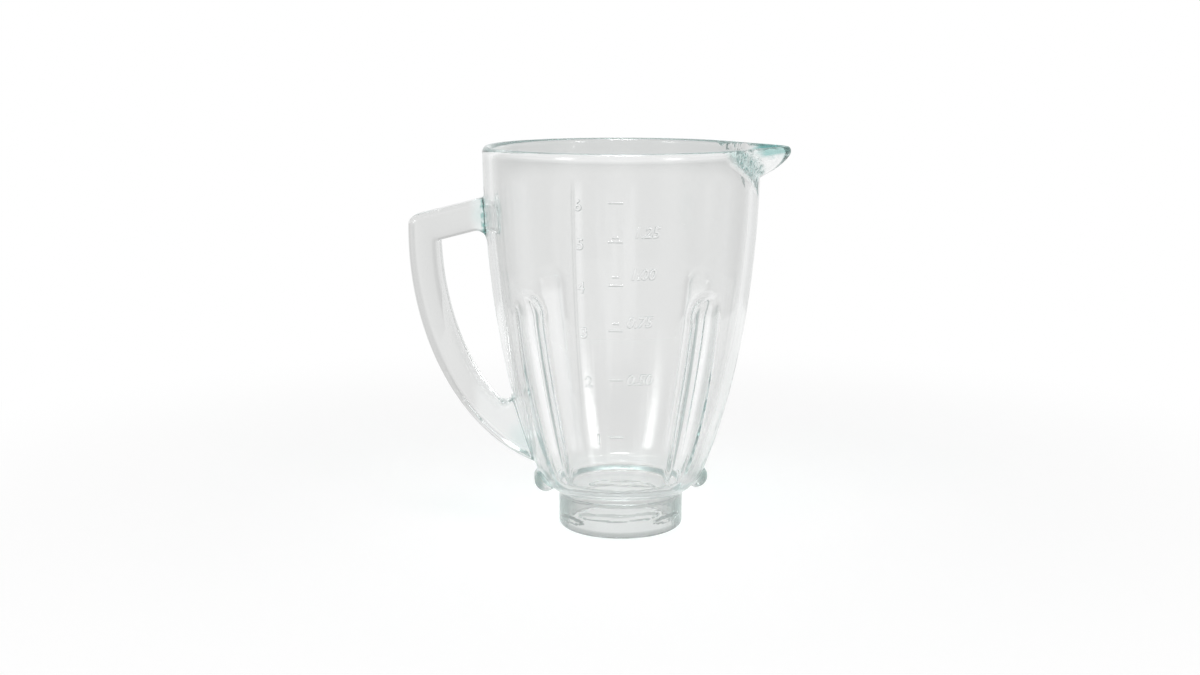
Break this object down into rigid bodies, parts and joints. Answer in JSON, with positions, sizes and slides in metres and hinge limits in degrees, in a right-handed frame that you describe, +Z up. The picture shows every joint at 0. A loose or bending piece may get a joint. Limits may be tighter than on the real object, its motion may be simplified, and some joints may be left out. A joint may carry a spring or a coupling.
{
  "type": "blender jar",
  "caption": "Clear pressed-glass blender jar with a bowed fluted body, pinched pouring spout, side handle, foot lugs and a short open neck for a blade unit and collar.",
  "frame": {"origin": "on the jar's axis at the foot of the neck, the face the jar stands on", "axes": "+Z up along the jar's axis to the mouth, +X towards the spout, -X towards the handle, -Y towards the face with the volume scale"},
  "size_m": [0.1894, 0.1366, 0.192],
  "materials": {
    "glass": "clear fire-polished pressed glass with a faint green tint"
  },
  "bodies": {
    "root": {"jar": "glass"}
  },
  "joints": []
}
